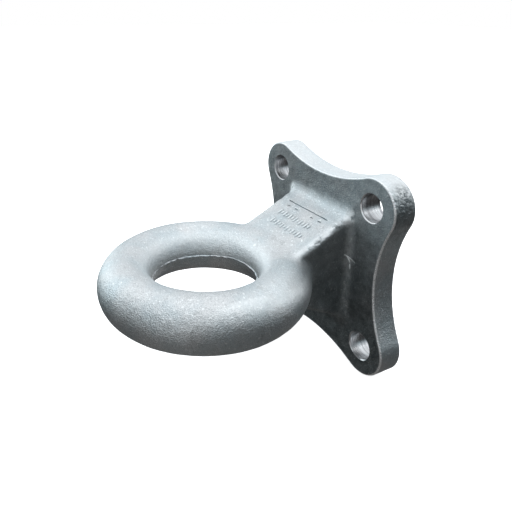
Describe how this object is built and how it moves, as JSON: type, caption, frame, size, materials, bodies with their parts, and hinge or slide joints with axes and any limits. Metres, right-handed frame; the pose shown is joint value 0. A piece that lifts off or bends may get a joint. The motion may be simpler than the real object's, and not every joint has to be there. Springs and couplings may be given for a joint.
{
  "type": "flanged drawbar eye",
  "caption": "Forged steel towing ring on a short flared shank with a lobed bolting flange, for pintle-hook drawbars.",
  "frame": {"origin": "centre of the flange's flat back face, midway between the bolt holes", "axes": "+Y out of the mounting face, away from the ring; the ring stands out along -Y with its eye's axis along +Z; +X across the flange"},
  "size_m": [0.1538, 0.1969, 0.1538],
  "materials": {
    "forged_steel": "as-forged and shot-blasted satin steel, cool light grey, with bright machined bolt holes"
  },
  "bodies": {
    "root": {"drawbar_eye_forging": "forged_steel"}
  },
  "joints": []
}
